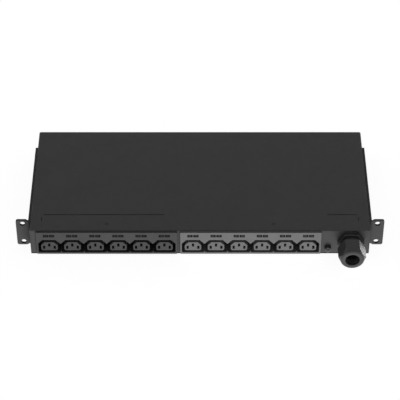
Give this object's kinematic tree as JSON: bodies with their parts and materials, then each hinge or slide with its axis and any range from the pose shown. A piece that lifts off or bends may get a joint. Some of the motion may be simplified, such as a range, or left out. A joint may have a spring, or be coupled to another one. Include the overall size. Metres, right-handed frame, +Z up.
{
  "type": "rack power distribution unit",
  "caption": "Flat black rack power distribution unit: folded steel case with bent ears, rows of appliance outlets, a cable gland and an earth stud along its front.",
  "frame": {"origin": "centre of the four rack holes, on the rear face of the ears, which meets the rack's rails", "axes": "+X along the front to the gland's end, +Y from the front to the back, +Z up"},
  "size_m": [0.4826, 0.2364, 0.0432],
  "materials": {
    "painted_steel": "fine-textured black powder coat",
    "ear_paint": "fine-textured black powder coat",
    "black_zinc": "black passivated zinc",
    "dark_moulding": "fine spark texture",
    "grey_moulding": "fine spark texture",
    "shell_moulding": "plain moulded",
    "brass_strip": "stamped",
    "seal_rubber": "matt",
    "gland_plastic": "satin moulded",
    "block_moulding": "plain moulded",
    "line_wire": "extruded insulation",
    "neutral_wire": "extruded insulation",
    "earth_wire": "extruded insulation"
  },
  "bodies": {
    "root": {"chassis_tray": "painted_steel", "front_panel": "painted_steel", "top_cover": "painted_steel", "seam_strip": "painted_steel", "flange_rivets": "painted_steel", "rack_ear_left": "ear_paint", "rack_ear_right": "ear_paint", "side_screws": "black_zinc", "lip_screws": "black_zinc", "outlet_housing_left": "dark_moulding", "contact_carrier_left": "dark_moulding", "outlet_housing_right": "grey_moulding", "contact_carrier_right": "grey_moulding", "back_shell_left": "shell_moulding", "back_shell_right": "shell_moulding", "line_bus_left": "brass_strip", "neutral_bus_left": "brass_strip", "earth_bus_left": "brass_strip", "line_bus_right": "brass_strip", "neutral_bus_right": "brass_strip", "earth_bus_right": "brass_strip", "gland_gasket": "seal_rubber", "gland_body": "gland_plastic", "gland_seal": "seal_rubber", "gland_nut": "gland_plastic", "gland_locknut": "gland_plastic", "earth_stud": "black_zinc", "earth_washer": "black_zinc", "earth_toothed_washer": "black_zinc", "earth_nut": "black_zinc", "earth_inner_nut": "black_zinc", "terminal_block": "block_moulding", "terminal_sleeves": "brass_strip", "terminal_screws": "black_zinc", "line_leads": "line_wire", "neutral_leads": "neutral_wire", "earth_leads": "earth_wire"}
  },
  "joints": []
}
